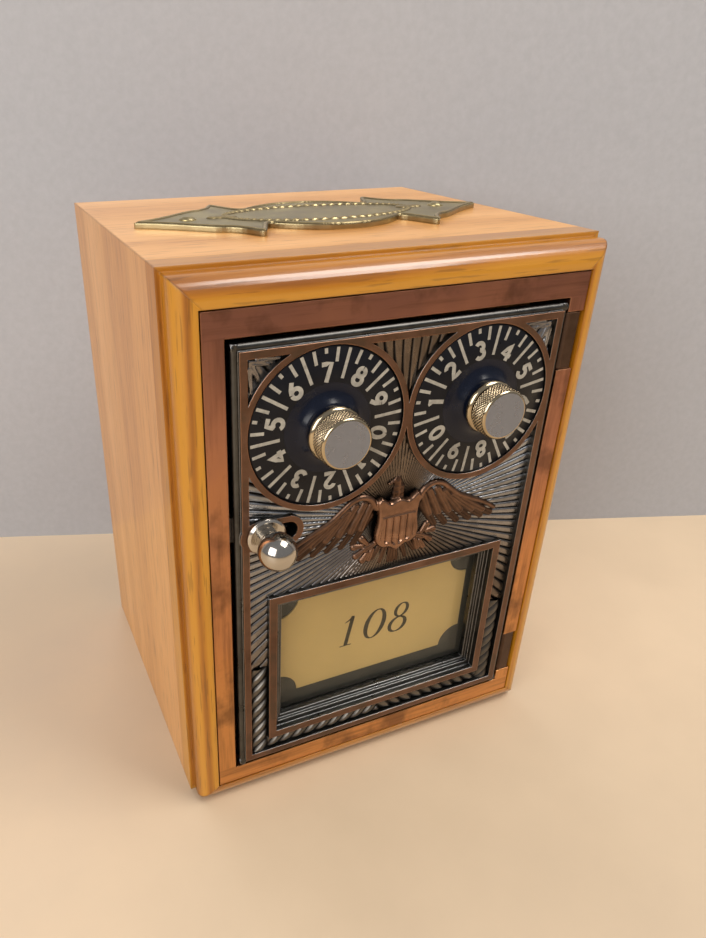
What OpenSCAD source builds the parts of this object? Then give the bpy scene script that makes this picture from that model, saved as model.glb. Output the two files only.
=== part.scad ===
// Oak money box with a cast post office box door, two letter-lock style dials
// and a sliding latch. X runs across the front, Y from front to back, Z up.
// The origin is the centre of the case's underside.

/* [Case] */
// Outside width of the case
case_w = 116; // [112:1:140]
// Outside height of the case
case_h = 154; // [150:1:180]
// Depth from the oak frame's face to the back
case_d = 102; // [80:1:140]
// Thickness of the side, top and bottom boards
board_t = 10; // [8:0.5:11]
// Thickness of the back board
back_t = 6; // [4:0.5:10]

/* [Oak front frame] */
// Front to back thickness of the oak frame
oak_t = 14.4; // [13.5:0.1:16]
// Depth of the flat fillet that lies flush with the boards
fillet_d = 7; // [5:0.1:8]
// How far the moulding steps in from the fillet
step_in = 1.2; // [0.6:0.1:1.6]
// Radius of the rounded front edge
round_r = 4.6; // [3:0.1:4.8]

/* [Metal door frame] */
// Width of oak seen at each side of the metal frame
side_rim = 7; // [6.5:0.1:8]
// Height of the oak below the metal frame
base_rim = 6.5; // [6:0.1:8]
// Height of the oak above the metal frame
top_rim = 8; // [7:0.1:9]
// Width of the frame's bar at each side of the opening
bar_side = 5; // [4.6:0.1:5.4]
// Height of the bar below the opening
bar_bottom = 5.3; // [4.5:0.1:6]
// Height of the bar above the opening
bar_top = 6.2; // [5:0.1:7]
// Thickness of the frame's face
flange_t = 3; // [2.5:0.1:3.2]
// Thickness of the hinge stile
stile_t = 6.4; // [5.6:0.1:7]
// Front to back depth of the sleeve
sleeve_d = 14; // [13:0.5:20]
// Wall of the sleeve
sleeve_wall = 1.8; // [1.5:0.1:2.2]

/* [Hinge] */
// Radius of the hinge barrels
barrel_r = 2.3; // [2:0.1:2.4]
// Radius of the hinge pins
pin_r = 1.2; // [0.8:0.1:1.4]
// Height of each hinge barrel
barrel_h = 15; // [10:0.5:18]

/* [Door] */
// Running gap round the door
door_gap = 1.1; // [1:0.1:1.4]
// Width of the round bead at the door's edge
bead_w = 2; // [1.6:0.1:2.4]
// Width of the flat raised border
border_w = 1.8; // [1.2:0.1:2.2]
// Width of the raised rim round the window
window_rim = 2.2; // [1.6:0.1:2.6]
// Width of the channel that holds the rope border
channel_w = 5.3; // [4:0.1:7]
// Thickness of the window glass
glass_t = 2; // [1.5:0.1:2.4]
// Number of cast rays in the sunburst
ray_count = 120; // [60:4:140]

/* [Dials and lock] */
// Radius of the dials
dial_r = 20; // [18:0.1:20.2]
// Distance between the two dial centres
dial_pitch = 43; // [42.6:0.1:44]
// Thickness of the dials
dial_t = 1.8; // [1.4:0.1:1.9]
// Width of the raised ring round each dial
ring_w = 1.5; // [1:0.1:1.6]
// Radius of the knurled knobs
knob_r = 6.6; // [6:0.1:8]
// Radius of the spindles
spindle_r = 3; // [2.5:0.1:3.4]
// Radius of the tumbler wheels
wheel_r = 15; // [13:0.5:15.5]
// Thickness of the tumbler wheels
wheel_t = 3; // [2:0.1:3.2]
// Depth of the lock housing
housing_d = 12; // [11.5:0.5:16]
// Radius of the latch ball
ball_r = 4.75; // [4:0.05:5.2]
// Travel of the latch from rest to open
latch_travel = 6; // [5:0.1:6]
// Travel of the latch from rest to locked
latch_throw = 2.4; // [1.6:0.1:2.6]

/* [Top plate] */
// Length of the brass plate on the lid
plate_l = 103; // [90:1:108]
// Width of the brass plate at its horns
plate_w = 42; // [36:0.5:50]
// Thickness of the brass plate
plate_t = 1.5; // [1:0.1:2.5]

/* [Hidden] */
$fn = 64;

oak = [0.80, 0.52, 0.20];
board_wood = [0.85, 0.62, 0.40];
copper = [0.48, 0.28, 0.18];
bronze = [0.24, 0.21, 0.17];
brass = [0.72, 0.66, 0.45];
nickel = [0.78, 0.76, 0.72];
steel = [0.62, 0.63, 0.65];
black = [0.06, 0.06, 0.08];
slip = 0.05;
fit_gap = 0.4;
half_w = case_w / 2;
frame_w = case_w - 2 * side_rim;
frame_h = case_h - base_rim - top_rim;
opening_w = frame_w - 2 * bar_side;
opening_h = frame_h - bar_bottom - bar_top;
front_y = -case_d / 2;
back_y = case_d / 2;
body_y = front_y + oak_t;
frame_z = base_rim;
frame_top = frame_z + frame_h;
frame_x = frame_w / 2;
open_x = opening_w / 2;
open_z = frame_z + bar_bottom;
open_top = open_z + opening_h;
sleeve_x = open_x + sleeve_wall;
sleeve_z = open_z - sleeve_wall;
sleeve_top = open_top + sleeve_wall;
oak_open_x = sleeve_x + fit_gap;
oak_open_z = sleeve_z - fit_gap;
oak_open_top = sleeve_top + fit_gap;
face_y = front_y + 0.3;

// Depths of the door's faces, measured back from the oak frame's face
door_x = open_x - door_gap;
door_z = open_z + door_gap;
door_top = open_top - door_gap;
rim_y = front_y - 1.2;
field_y = front_y + 0.7;
door_back_y = front_y + 3.6;
border_x = door_x - bead_w * 0.8;
border_z = door_z + bead_w * 0.8;
border_top = door_top - bead_w * 0.8;
field_x = border_x - border_w;
field_z = border_z + border_w;
field_top = border_top - border_w;

hinge_x = (open_x + frame_x) / 2;
hinge_y = front_y + barrel_r + 0.4;
barrel_round = barrel_r * 1.2;
hinge_gap = 0.3;
upper_barrel_z = open_top - barrel_h - 4;
lower_barrel_z = open_z + 4;
pin_len = barrel_h + 12;

dial_x = dial_pitch / 2;
dial_z = field_top - dial_r + 0.7;
dial_seat_y = rim_y + dial_t + 0.3;
dial_seat_r = dial_r + 0.2;
ring_r = dial_seat_r + ring_w;
burst_z = dial_z - 29.5;

window_x = field_x - channel_w;
window_z = field_z + channel_w - 0.9;
window_h = (dial_z - window_z) * 0.5247;
window_top = window_z + window_h;
pane_x = window_x - window_rim - 2.4;
pane_z = window_z + window_rim + 2.8;
pane_top = window_top - window_rim - 3;
pane_lap = 2.2;
ledge_y = rim_y + 1.9;
ledge_in = 1.1;
plate_number_t = 0.4;
card_t = 0.5;
retainer_t = 1;
glass_y = door_back_y;
number_y = glass_y + glass_t + 0.05;
card_y = number_y + plate_number_t;
retainer_y = card_y + card_t;
retainer_w = 4.5;
retainer_screw_r = 0.9;
retainer_screw_h = 3.2;

bolt_y = door_back_y + 0.5;
bolt_t = 2;
washer_y = bolt_y + bolt_t + 0.4;
washer_t = 0.7;
wheel_y = washer_y + washer_t;
clip_t = 0.8;
clip_y = wheel_y + wheel_t;
housing_x = 44;
housing_z = dial_z - 37.5;
housing_top = field_top - 1.5;
housing_wall = 1.5;
spindle_end_y = clip_y + clip_t + 0.6;

latch_z = dial_z - 25.6;
latch_x = -border_x + 6;
stem_r = 2;
slot_r = stem_r + 0.5;
collar_r = 5;
collar_t = 1.3;
latch_boss_y = rim_y;
ball_y = latch_boss_y - collar_t - ball_r - 1.2;
tongue_tip_x = -open_x + 0.4;
arm_w = 7;
gate_w = 4;
gate_d = 7;
finger_w = 3;
finger_l = 2.6;
finger_gap = 0.6;
spring_r = 1.6;
spring_x = latch_x + 5.5;
spring_stop_x = spring_x + 16;
spring_y = bolt_y + bolt_t / 2 + 0.2;
spring_z = latch_z + 8;

// Extrudes a shape drawn in X and Z from depth y0 back to depth y1
module slab(y0, y1) {
    translate([0, y1, 0]) rotate([90, 0, 0]) linear_extrude(y1 - y0) children();
}

// A round rod along Y
module rod_y(x, z, y0, y1, r) {
    translate([x, y1, z]) rotate([90, 0, 0]) cylinder(h = y1 - y0, r = r);
}

// A round rod along Z
module rod_z(x, y, z0, h, r) {
    translate([x, y, z0]) cylinder(h = h, r = r);
}

// A profile of radius and depth points turned about an axis along Y
module turned_y(x, z, points) {
    translate([x, 0, z]) rotate([-90, 0, 0]) rotate_extrude() polygon(points);
}

// A rectangle in X and Z
module panel(x0, x1, z0, z1) {
    translate([x0, z0]) square([x1 - x0, z1 - z0]);
}

// Boards of the case, mitred at their long edges
module case_side(side) {
    color(board_wood) slab(body_y, back_y) polygon([
        [side * half_w, 0], [side * half_w, case_h],
        [side * (half_w - board_t), case_h - board_t], [side * (half_w - board_t), board_t]
    ]);
}

module case_top() {
    color(board_wood) slab(body_y, back_y) polygon([
        [-half_w, case_h], [half_w, case_h],
        [half_w - board_t, case_h - board_t], [-half_w + board_t, case_h - board_t]
    ]);
}

module case_bottom() {
    color(board_wood) slab(body_y, back_y) polygon([
        [-half_w, 0], [half_w, 0],
        [half_w - board_t, board_t], [-half_w + board_t, board_t]
    ]);
}

module case_back() {
    color(board_wood) slab(back_y - back_t - 1, back_y - 1)
        panel(-half_w + board_t, half_w - board_t, board_t, case_h - board_t);
}

// Section of the oak moulding: first value in from the case's face, second back from the front
function oak_section(width) = concat(
    [[0, oak_t], [0, oak_t - fillet_d], [step_in, oak_t - fillet_d], [step_in, round_r]],
    [for (a = [10 : 10 : 80]) [step_in + round_r * (1 - cos(a)), round_r * (1 - sin(a))]],
    [[step_in + round_r, 0], [width, 0], [width, oak_t]]
);

// A length of oak moulding standing along Z with its outer face at X 0
module oak_length(length, width) {
    linear_extrude(length) polygon([for (p = oak_section(width)) [p[0], p[1]]]);
}

// The space inside the oak frame: the sleeve's opening and the seat for the metal face
module oak_cutout() {
    slab(front_y - 1, body_y + 1) panel(-oak_open_x, oak_open_x, oak_open_z, oak_open_top);
    slab(front_y - 1, front_y + 0.3 + flange_t + 0.1)
        panel(-frame_x - fit_gap, frame_x + fit_gap, frame_z - fit_gap, frame_top + fit_gap);
    slab(front_y - 1, front_y + 0.3 + stile_t + 0.1)
        panel(open_x - fit_gap, frame_x + fit_gap, frame_z - fit_gap, frame_top + fit_gap);
}

oak_side_w = half_w - oak_open_x;
oak_top_w = case_h - oak_open_top;
oak_bottom_w = oak_open_z;
frame_screw_z = [open_z + 30, open_top - 20];
frame_screw_y = front_y + 9;
screw_r = 1.4;
screw_head_r = 2.5;
screw_len = 8;

module oak_stile(side) {
    color(oak) difference() {
        intersection() {
            translate([side * half_w, front_y, 0]) mirror([side > 0 ? 1 : 0, 0, 0])
                oak_length(case_h, oak_side_w + 4);
            slab(front_y - 1, body_y + 1) polygon([
                [side * half_w, 0], [side * half_w, case_h],
                [side * oak_open_x, case_h - oak_side_w], [side * oak_open_x, oak_side_w]
            ]);
        }
        oak_cutout();
        for (z = frame_screw_z)
            translate([side * (sleeve_x - 1), frame_screw_y, z]) rotate([0, side * 90, 0])
                cylinder(h = screw_len + 1, r = screw_r + slip);
        if (side < 0) slab(front_y + 2.5, front_y + 8)
            panel(-oak_open_x - 2, -oak_open_x + 1, latch_z - 6, latch_z + 6);
    }
}

module oak_rail_top() {
    color(oak) difference() {
        intersection() {
            translate([-half_w, front_y, case_h]) rotate([0, 90, 0])
                oak_length(case_w, oak_top_w);
            slab(front_y - 1, body_y + 1) polygon([
                [-half_w, case_h], [half_w, case_h], [oak_open_x, case_h - oak_side_w],
                [oak_open_x, oak_open_top], [-oak_open_x, oak_open_top],
                [-oak_open_x, case_h - oak_side_w]
            ]);
        }
        oak_cutout();
    }
}

module oak_rail_bottom() {
    color(oak) difference() {
        intersection() {
            translate([half_w, front_y, 0]) rotate([0, -90, 0])
                oak_length(case_w, oak_bottom_w + 3);
            slab(front_y - 1, body_y + 1) polygon([
                [-half_w, 0], [half_w, 0], [oak_open_x, oak_side_w], [oak_open_x, oak_open_z],
                [-oak_open_x, oak_open_z], [-oak_open_x, oak_side_w]
            ]);
        }
        oak_cutout();
    }
}

// Cast frame: face, hinge stile and sleeve, with notches for the barrels and the bolt
module door_frame() {
    color(copper) difference() {
        union() {
            slab(face_y, face_y + flange_t) panel(-frame_x, frame_x, frame_z, frame_top);
            slab(face_y, face_y + stile_t) panel(open_x, frame_x, frame_z, frame_top);
            slab(face_y, face_y + sleeve_d) panel(-sleeve_x, sleeve_x, sleeve_z, sleeve_top);
        }
        slab(front_y - 1, front_y + sleeve_d + 2) panel(-open_x, open_x, open_z, open_top);
        for (z = [upper_barrel_z, lower_barrel_z])
            slab(front_y - 1, hinge_y + barrel_round + hinge_gap)
                panel(open_x - 1, frame_x + 1, z - hinge_gap, z + barrel_h + hinge_gap);
        rod_z(hinge_x, hinge_y, upper_barrel_z - 6 - slip, pin_len + 2 * slip, pin_r + slip);
        rod_z(hinge_x, hinge_y, lower_barrel_z - 6 - slip, pin_len + 2 * slip, pin_r + slip);
        for (side = [-1, 1], z = frame_screw_z)
            translate([side * open_x, frame_screw_y, z]) rotate([0, side * 90, 0]) {
                cylinder(h = 4, r = screw_r + slip);
                translate([0, 0, -slip]) cylinder(h = sleeve_wall - 0.3,
                    r1 = screw_head_r + slip, r2 = screw_r + slip);
            }
        slab(bolt_y - 0.4, bolt_y + bolt_t + 0.4)
            panel(-sleeve_x - 1, -open_x + 1, latch_z - arm_w / 2 - 0.5, latch_z + arm_w / 2 + 0.5);
    }
}

module frame_screws() {
    color(steel) for (side = [-1, 1], z = frame_screw_z)
        translate([side * open_x, frame_screw_y, z]) rotate([0, side * 90, 0]) {
            cylinder(h = screw_len, r = screw_r);
            cylinder(h = sleeve_wall - 0.3, r1 = screw_head_r, r2 = screw_r);
        }
}

module hinge_pin(z) {
    color(steel) rod_z(hinge_x, hinge_y, z - 6, pin_len, pin_r);
}

// Brass plate on the lid: an oval body, a waist, two pairs of horns and pointed ends
plate_marks = [
    [0, 0.45], [0.058, 0.436], [0.116, 0.376], [0.156, 0.31], [0.180, 0.267], [0.199, 0.30],
    [0.218, 0.405], [0.236, 0.498], [0.250, 0.48], [0.268, 0.393], [0.296, 0.324],
    [0.330, 0.286], [0.369, 0.214], [0.417, 0.119], [0.466, 0.043], [0.5, 0]
];

// A point between b and c on a smooth curve through a, b, c and d
function between(a, b, c, d, t) = 0.5 * (2 * b + (c - a) * t + (2 * a - 5 * b + 4 * c - d) * t * t
    + (3 * b - a - 3 * c + d) * t * t * t);
function mark(i) = let (n = len(plate_marks), k = i < 0 ? -i : min(i, n - 1))
    [(i < 0 ? -1 : 1) * plate_l * plate_marks[k][0], plate_w * plate_marks[k][1]];
function plate_half() = concat([for (i = [0 : len(plate_marks) - 2], t = [0, 0.34, 0.67])
    between(mark(i - 1), mark(i), mark(i + 1), mark(i + 2), t)], [mark(len(plate_marks) - 1)]);
plate_hole_x = plate_l * 0.365;
plate_pin_r = 1.3;
plate_pin_len = 6;

module plate_outline() {
    half = plate_half();
    n = len(half);
    polygon(concat(
        half,
        [for (i = [n - 2 : -1 : 0]) [half[i][0], -half[i][1]]],
        [for (i = [1 : n - 1]) [-half[i][0], -half[i][1]]],
        [for (i = [n - 2 : -1 : 1]) [-half[i][0], half[i][1]]]
    ));
}

module lid_plate() {
    color(brass) difference() {
        translate([0, 0, case_h]) linear_extrude(plate_t) plate_outline();
        for (x = [-plate_hole_x, plate_hole_x])
            translate([x, 0, case_h - 1]) cylinder(h = plate_t + 2, r = plate_pin_r + slip);
    }
}

module lid_plate_pins() {
    color(brass) for (x = [-plate_hole_x, plate_hole_x])
        translate([x, 0, case_h]) {
            cylinder(h = plate_t, r = plate_pin_r);
            translate([0, 0, plate_t]) cylinder(h = 0.8, r1 = 2.3, r2 = 1.2);
        }
}

// Door
module edge_bead() {
    r = bead_w / 2;
    x = door_x - r;
    z0 = door_z + r;
    z1 = door_top - r;
    y = front_y + 0.5;
    for (s = [-1, 1]) {
        rod_z(s * x, y, z0 - r, z1 - z0 + 2 * r, r);
        translate([-door_x, y, s > 0 ? z1 : z0]) rotate([0, 90, 0]) cylinder(h = 2 * door_x, r = r);
    }
}

// The ground of the door inside the border, less what stands on it
module field_shape() {
    difference() {
        panel(-field_x, field_x, field_z, field_top);
        for (s = [-1, 1]) translate([s * dial_x, dial_z]) circle(ring_r);
        panel(-window_x, window_x, window_z, window_top);
        latch_boss_shape();
    }
}

module latch_boss_shape() {
    for (x = [latch_x - latch_throw, latch_x + latch_travel])
        translate([x, latch_z]) circle(slot_r + 1.6);
    panel(latch_x - latch_throw, latch_x + latch_travel,
        latch_z - slot_r - 1.6, latch_z + slot_r + 1.6);
}

module latch_slot(y0, y1) {
    for (x = [latch_x - latch_throw, latch_x + latch_travel]) rod_y(x, latch_z, y0, y1, slot_r);
    slab(y0, y1) panel(latch_x - latch_throw, latch_x + latch_travel,
        latch_z - slot_r, latch_z + slot_r);
}

module barrel(z) {
    intersection() {
        rod_z(hinge_x, hinge_y, z, barrel_h, barrel_round);
        translate([hinge_x - barrel_r, hinge_y - barrel_r, z]) cube([2 * barrel_r, 2 * barrel_r, barrel_h]);
    }
    slab(hinge_y - 0.4, door_back_y) panel(door_x - 1, hinge_x - pin_r - 0.2, z, z + barrel_h);
}

guide_spots = [[-3, dial_z], [latch_x + 13.3, latch_z]];
guide_r = 1.6;
housing_post_x = housing_x - 4.6;
housing_post_z = [housing_z + 5, housing_top - 5];
retainer_post_x = window_x + 2.4;
retainer_post_z = [window_z + 8, window_top - 8];

module door_casting() {
    color(bronze) difference() {
        union() {
            slab(field_y, door_back_y) panel(-door_x + 0.6, door_x - 0.6, door_z + 0.6, door_top - 0.6);
            edge_bead();
            slab(rim_y, field_y + 1) difference() {
                panel(-border_x, border_x, border_z, border_top);
                panel(-field_x, field_x, field_z, field_top);
            }
            for (s = [-1, 1]) intersection() {
                rod_y(s * dial_x, dial_z, rim_y, field_y + 1, ring_r);
                slab(rim_y - 1, field_y + 2) panel(-border_x, border_x, field_z, border_top);
            }
            slab(rim_y, field_y + 1) panel(-window_x, window_x, window_z, window_top);
            slab(latch_boss_y, field_y + 1) latch_boss_shape();
            for (z = [upper_barrel_z, lower_barrel_z]) barrel(z);
            for (s = [-1, 1]) rod_y(s * dial_x, dial_z, door_back_y - 0.1, washer_y, spindle_r + 1.4);
            for (x = [-retainer_post_x, retainer_post_x], z = retainer_post_z)
                rod_y(x, z, door_back_y - 0.1, retainer_y, 2.2);
            slab(door_back_y - 0.1, bolt_y + bolt_t + 0.6)
                panel(spring_stop_x, spring_stop_x + 2, spring_z - 3, spring_z + 2.6);
        }
        for (s = [-1, 1]) {
            rod_y(s * dial_x, dial_z, rim_y - 1, dial_seat_y, dial_seat_r);
            rod_y(s * dial_x, dial_z, rim_y, washer_y + 1, spindle_r + slip);
        }
        slab(rim_y - 1, ledge_y) panel(-window_x + window_rim, window_x - window_rim,
            window_z + window_rim, window_top - window_rim);
        slab(rim_y - 1, ledge_y + 1) panel(-pane_x - ledge_in, pane_x + ledge_in,
            pane_z - ledge_in, pane_top + ledge_in);
        slab(rim_y - 1, door_back_y + 1) panel(-pane_x, pane_x, pane_z, pane_top);
        latch_slot(rim_y - 1, door_back_y + 1);
        for (z = [upper_barrel_z, lower_barrel_z])
            rod_z(hinge_x, hinge_y, z - 1, barrel_h + 2, pin_r + slip);
        for (g = guide_spots) rod_y(g[0], g[1], field_y + 0.9, door_back_y + 1, guide_r - 0.4 + slip);
        for (x = [-housing_post_x, housing_post_x], z = housing_post_z)
            rod_y(x, z, field_y + 0.9, door_back_y + 1, retainer_screw_r + slip);
        for (x = [-retainer_post_x, retainer_post_x], z = retainer_post_z)
            rod_y(x, z, field_y + 0.9, retainer_y + 1, retainer_screw_r + slip);
    }
}

// Rays of the sunburst: ridges that spread from one centre over the door's ground
module sunburst_rays() {
    step = 360 / ray_count;
    reach = 95;
    color(bronze) slab(field_y - 0.6, field_y) intersection() {
        field_shape();
        difference() {
            panel(-field_x, field_x, field_z, field_top);
            translate([0, burst_z]) for (i = [0 : ray_count - 1]) rotate(i * step)
                polygon([[14, -14 * tan(step * 0.25)], [reach, -reach * tan(step * 0.25)],
                    [reach, reach * tan(step * 0.25)], [14, 14 * tan(step * 0.25)]]);
            for (s = [-1, 1]) translate([s * (field_x + window_x) / 2 - 3, field_z]) square([6, window_h * 0.7]);
            panel(-field_x, field_x, field_z, window_z);
            translate([0, burst_z]) circle(14.2);
            emblem_shape();
        }
    }
}

rope_r = 1.7;
rope_y = field_y - 0.2;
rope_x = (field_x + window_x) / 2;
rope_z = (field_z + window_z) / 2;
rope_step = 3.4;

// Twisted rope cast in the channel beside and below the window
module rope_run(length) {
    count = floor(length / rope_step);
    for (i = [0 : count - 1]) translate([0, 0, (i + 0.5) * length / count]) rotate([0, 38, 0])
        cylinder(h = rope_step * 0.86, r = rope_r * 0.72, center = true);
}

module rope_border() {
    color(bronze) intersection() {
        union() {
            for (s = [-1, 1]) translate([s * rope_x, rope_y, field_z + 3]) rope_run(window_h * 0.62);
            translate([-rope_x + 2, rope_y, rope_z]) rotate([0, 90, 0]) rope_run(2 * rope_x - 4);
        }
        slab(rim_y, field_y) panel(-field_x, field_x, field_z, window_top);
    }
}

// Winged shield cast over the sunburst's centre
shield_w = 13.4;
shield_h = 16;
wing_span = 31.5;
shield_y = rim_y - 0.6;

module shield_shape() {
    w = shield_w / 2;
    translate([0, burst_z - 1]) polygon([
        [-w, shield_h * 0.42], [-w * 0.72, shield_h * 0.5], [-w * 0.3, shield_h * 0.43],
        [0, shield_h * 0.52], [w * 0.3, shield_h * 0.43], [w * 0.72, shield_h * 0.5],
        [w, shield_h * 0.42], [w * 0.88, shield_h * 0.1], [w * 0.96, -shield_h * 0.22],
        [w * 0.72, -shield_h * 0.4], [w * 0.3, -shield_h * 0.44], [0, -shield_h * 0.5],
        [-w * 0.3, -shield_h * 0.44], [-w * 0.72, -shield_h * 0.4],
        [-w * 0.96, -shield_h * 0.22], [-w * 0.88, shield_h * 0.1]
    ]);
}

// Feathers fan out under a curved leading edge
function wing_edge(t) = [5 + (wing_span - 5) * t, burst_z + 5 + 3.6 * sin(min(1, t * 2.6) * 90) - 15 * pow(t, 1.4)];

module wing_front_edge(side) {
    mirror([side < 0 ? 1 : 0, 0]) for (i = [0 : 11]) {
        a = wing_edge(i / 12);
        b = wing_edge((i + 1) / 12);
        polygon([a, b, [b[0], b[1] - 1.6], [a[0], a[1] - 1.6]]);
    }
}

module feather(side, i) {
    root = wing_edge(0.06 + i * 0.105);
    tip = wing_edge(0.2 + i * 0.11);
    reach = 7.5 - i * 0.5;
    mirror([side < 0 ? 1 : 0, 0]) polygon([
        [root[0], root[1] - 1], [root[0] + 2.2, root[1] - 1.2],
        [tip[0] + 1.2, tip[1] - reach + 1], [tip[0] + 0.3, tip[1] - reach],
        [tip[0] - 1, tip[1] - reach + 0.4]
    ]);
}

module head_shape() {
    translate([0, burst_z + 9.6]) circle(2.4);
    polygon([[-2.4, burst_z + 11], [0.4, burst_z + 11.6], [0.6, burst_z + 9.4], [-4.2, burst_z + 8.6]]);
    translate([-1.2, burst_z + 5]) square([2.4, 4]);
}

module sprig(side) {
    for (i = [0 : 2]) translate([side * (5 + 2.6 * i), burst_z - 9.2 + 0.8 * i]) circle(1.5);
}

module emblem_shape() {
    shield_shape();
    head_shape();
    for (side = [-1, 1]) {
        wing_front_edge(side);
        for (i = [0 : 7]) feather(side, i);
        sprig(side);
    }
}

module winged_shield() {
    color(copper) difference() {
        union() {
            slab(shield_y, field_y) shield_shape();
            slab(field_y - 1.4, field_y) head_shape();
            for (side = [-1, 1]) {
                slab(rim_y - 0.2, field_y) wing_front_edge(side);
                for (i = [0 : 7]) slab(field_y - 1.2 - 0.08 * i, field_y) feather(side, i);
                slab(field_y - 1.3, field_y) sprig(side);
            }
        }
        slab(shield_y - 1, shield_y + 0.35) for (i = [-2 : 2])
            panel(i * 2 - 0.35, i * 2 + 0.35, burst_z - 7.4, burst_z + 1.6);
    }
}

// Window
module window_glass() {
    color([0.75, 0.8, 0.8, 0.35]) slab(glass_y, glass_y + glass_t)
        panel(-pane_x - pane_lap, pane_x + pane_lap, pane_z - pane_lap, pane_top + pane_lap);
}

module number_plate_shape() {
    w = pane_x - 0.4;
    z0 = pane_z + 4;
    z1 = pane_top - 2;
    difference() {
        panel(-w, w, z0, z1);
        for (s = [-1, 1], z = [z0, z1]) translate([s * w, z]) circle(6.5);
    }
}

module number_plate() {
    color(brass) slab(number_y, number_y + plate_number_t) number_plate_shape();
}

module backing_card() {
    color([0.25, 0.24, 0.22]) slab(card_y, card_y + card_t)
        panel(-pane_x - pane_lap, pane_x + pane_lap, pane_z - pane_lap, pane_top + pane_lap);
}

module window_retainer() {
    x = retainer_post_x + 2.4;
    color(steel) difference() {
        slab(retainer_y, retainer_y + retainer_t) difference() {
            panel(-x, x, pane_z - pane_lap - 1.5, pane_top + pane_lap + 1.5);
            panel(-pane_x + 3, pane_x - 3, pane_z + 3, pane_top - 3);
        }
        for (s = [-1, 1], z = retainer_post_z)
            rod_y(s * retainer_post_x, z, retainer_y - 1, retainer_y + retainer_t + 1,
                retainer_screw_r + slip);
    }
}

module pan_screw(x, z, seat_y, tip_y) {
    rod_y(x, z, tip_y, seat_y, retainer_screw_r);
    rod_y(x, z, seat_y, seat_y + 1, 1.8);
}

module retainer_screws() {
    color(steel) for (x = [-retainer_post_x, retainer_post_x], z = retainer_post_z)
        pan_screw(x, z, retainer_y + retainer_t, field_y + 1);
}

// Lock
module lock_housing() {
    y1 = door_back_y + housing_d;
    color(steel) difference() {
        slab(door_back_y, y1) panel(-housing_x, housing_x, housing_z, housing_top);
        difference() {
            slab(door_back_y - 1, y1 - housing_wall)
                panel(-housing_x + housing_wall, housing_x - housing_wall,
                    housing_z + housing_wall, housing_top - housing_wall);
            for (x = [-housing_post_x, housing_post_x], z = housing_post_z)
                rod_y(x, z, door_back_y - 1, y1, 2.4);
        }
        slab(door_back_y - 1, bolt_y + bolt_t + 0.5)
            panel(-housing_x - 1, -housing_x + housing_wall + 1,
                latch_z - arm_w / 2 - 0.5, latch_z + arm_w / 2 + 0.5);
        for (x = [-housing_post_x, housing_post_x], z = housing_post_z)
            rod_y(x, z, door_back_y - 1, y1 + 1, retainer_screw_r + slip);
        for (s = [-1, 1]) rod_y(s * dial_x, dial_z, y1 - housing_wall - 1, y1 + 1, spindle_r + 0.6);
    }
}

module housing_screws() {
    color(steel) for (x = [-housing_post_x, housing_post_x], z = housing_post_z)
        pan_screw(x, z, door_back_y + housing_d, field_y + 1);
}

module bolt_guide_screws() {
    color(steel) for (g = guide_spots) {
        rod_y(g[0], g[1], field_y + 1, door_back_y, guide_r - 0.4);
        rod_y(g[0], g[1], door_back_y, bolt_y + bolt_t + 0.1, guide_r);
        rod_y(g[0], g[1], bolt_y + bolt_t + 0.1, bolt_y + bolt_t + 0.9, guide_r + 1.2);
    }
}

// Dials, knobs, spindles and tumbler wheels, the same on both sides
mark_count = 40;
module dial(side) {
    front = rim_y + 0.3;
    color(black) difference() {
        union() {
            turned_y(side * dial_x, dial_z, [
                [0, dial_seat_y - slip], [dial_r, dial_seat_y - slip], [dial_r, front], [9, front],
                [8, front - 1], [6.4, front - 1.8], [0, front - 1.8]
            ]);
            translate([side * dial_x, 0, dial_z]) for (i = [0 : mark_count - 1])
                rotate([0, i * 360 / mark_count, 0]) {
                    long = i % 4 == 2 ? 7.4 : i % 4 == 0 ? 1.6 : 4;
                    slab(front - 0.12, front + 0.2) panel(-0.4, 0.4, dial_r - 0.4 - long, dial_r - 0.4);
                }
        }
        rod_y(side * dial_x, dial_z, front - 4, dial_seat_y + 1, spindle_r + 0.02);
    }
}

knob_back_y = rim_y + 0.3 - 1.8;
knob_len = 7.9;
module knob(side) {
    y0 = knob_back_y - knob_len;
    groove_y = y0 + 4.4;
    color(nickel) difference() {
        turned_y(side * dial_x, dial_z, [
            [0, y0], [knob_r - 0.7, y0], [knob_r, y0 + 0.7], [knob_r, groove_y],
            [knob_r - 1.2, groove_y + 0.4], [knob_r - 0.3, groove_y + 0.9],
            [knob_r - 0.1, groove_y + 1.7], [knob_r - 0.7, groove_y + 2.7],
            [knob_r - 2, knob_back_y], [0, knob_back_y]
        ]);
        rod_y(side * dial_x, dial_z, y0 + 1.5, knob_back_y + 1, spindle_r + 0.02);
    }
}

module spindle(side) {
    color(steel) rod_y(side * dial_x, dial_z, knob_back_y - knob_len + 1.55, spindle_end_y, spindle_r);
}

module tumbler_wheel(side) {
    color(brass) difference() {
        rod_y(side * dial_x, dial_z, wheel_y, wheel_y + wheel_t, wheel_r);
        rod_y(side * dial_x, dial_z, wheel_y - 1, wheel_y + wheel_t + 1, spindle_r + 0.02);
        translate([side * dial_x, 0, dial_z]) for (a = [0 : 90 : 270]) rotate([0, a, 0])
            slab(wheel_y - 1, wheel_y + wheel_t + 1)
                panel(-wheel_r - 1, -wheel_r + gate_d, -gate_w / 2, gate_w / 2);
        for (a = [45 : 90 : 315]) translate([side * dial_x, 0, dial_z]) rotate([0, a, 0])
            rod_y(wheel_r * 0.62, 0, wheel_y - 1, wheel_y + wheel_t + 1, 2);
    }
}

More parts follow.
